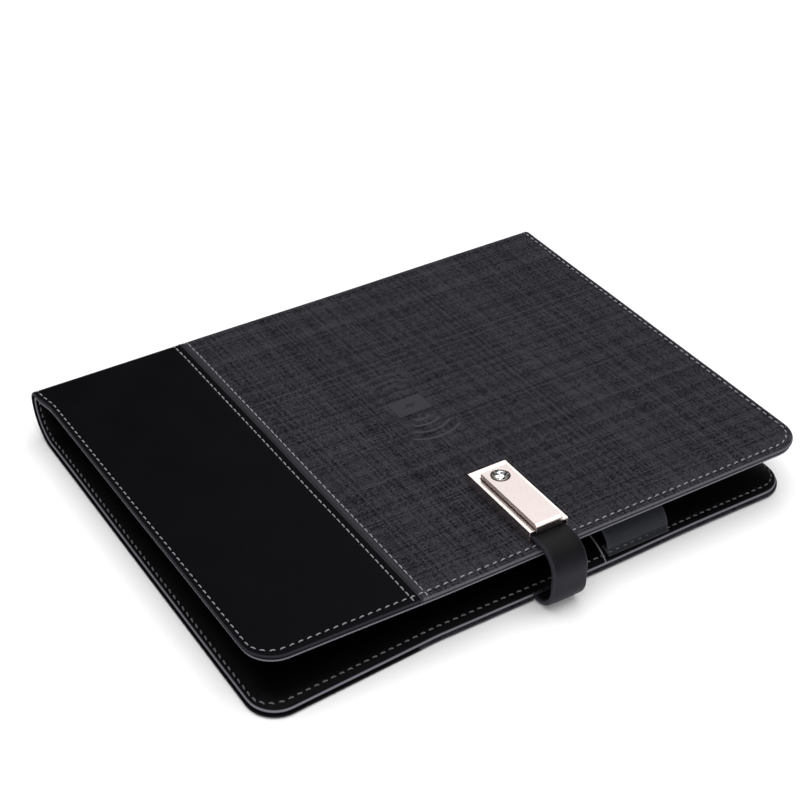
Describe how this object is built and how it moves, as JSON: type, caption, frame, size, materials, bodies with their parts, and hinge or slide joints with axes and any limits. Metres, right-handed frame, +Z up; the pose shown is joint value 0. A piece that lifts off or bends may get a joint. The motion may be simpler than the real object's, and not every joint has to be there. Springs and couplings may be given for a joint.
{
  "type": "wireless charging organizer cover",
  "caption": "Closed organizer cover with a wireless charging front panel, woven and leather skins, stitched edges, and a strap with a sliding metal clasp.",
  "frame": {"origin": "middle of the back cover's underside, between the spine's outermost line and the fore edge", "axes": "+X from the spine to the fore edge, +Y along the spine, +Z up through the closed covers"},
  "size_m": [0.1908, 0.23, 0.0307],
  "materials": {
    "leather": "smooth matte black leather",
    "fabric": "charcoal slubbed weave",
    "lining": "fine grained black lining",
    "board": "grey board",
    "elastic": "ribbed grey elastic",
    "strap": "smooth matte",
    "metal": "champagne plated, satin",
    "steel": "bright",
    "crystal": "clear, faceted",
    "case": "fine texture",
    "button": "satin",
    "cell": "foil",
    "circuit": "solder mask",
    "copper": "enamelled wire",
    "ferrite": "dull",
    "cable": "flat polyimide"
  },
  "bodies": {
    "back_cover": {"back_leather_panel": "leather", "back_fabric_panel": "fabric", "back_seam_welt": "leather", "back_board": "board", "back_lining": "lining", "back_pocket_panel": "lining", "pen_loop": "elastic", "back_cable": "cable", "strap_tail": "strap", "power_case_lower": "case", "power_case_upper": "case", "battery_cell": "cell", "power_board": "circuit", "usb_c_port": "steel", "usb_a_port": "steel", "light_pipe": "crystal"},
    "button": {"power_button": "button"},
    "spine": {"spine_leather_panel": "leather", "spine_fabric_panel": "fabric", "spine_seam_welt": "leather", "spine_stiffener": "board", "spine_lining": "lining", "spine_cable": "cable"},
    "front_cover": {"front_leather_panel": "leather", "front_fabric_panel": "fabric", "front_seam_welt": "leather", "front_board": "board", "front_lining": "lining", "front_pocket_panel": "lining", "charging_coil": "copper", "ferrite_shield": "ferrite", "charger_board": "circuit", "keeper_plate": "steel", "front_cable": "cable"},
    "strap_base": {"strap_lower": "strap"},
    "strap_tip": {"strap_upper": "strap", "plug_holder": "case", "usb_plug": "steel"},
    "clasp": {"clasp_frame": "metal", "clasp_plate": "metal", "crystal_setting": "metal", "crystal": "crystal", "clasp_magnet": "steel"}
  },
  "joints": [
    {"name": "spine_fold", "type": "hinge", "parent": "back_cover", "child": "spine", "pos_m": [-0.08716, 0, 0.00324], "axis": [0, -1, 0], "range_deg": [0, 90]},
    {"name": "cover_fold", "type": "hinge", "parent": "spine", "child": "front_cover", "pos_m": [-0.08946, 0, 0.01859], "axis": [0, -1, 0], "range_deg": [0, 88.81]},
    {"name": "strap_swing", "type": "hinge", "parent": "back_cover", "child": "strap_base", "pos_m": [0.0983, 0.002, 0.0023], "axis": [0, 1, 0], "range_deg": [0, 80]},
    {"name": "strap_bend", "type": "hinge", "parent": "strap_base", "child": "strap_tip", "pos_m": [0.09821, 0.002, 0.02432], "axis": [0, 1, 0], "range_deg": [0, 81.06]},
    {"name": "clasp_slide", "type": "slide", "parent": "strap_tip", "child": "clasp", "axis": [-0.9998, 0, -0.0208], "range_m": [0, 0.024]},
    {"name": "button_press", "type": "slide", "parent": "back_cover", "child": "button", "axis": [0, 0, -1], "range_m": [0, 0.0005]}
  ],
  "couplings": [
    {"joint": "cover_fold", "follows": "spine_fold", "ratio": 0.98678},
    {"joint": "strap_bend", "follows": "strap_swing", "ratio": 1.0132}
  ]
}
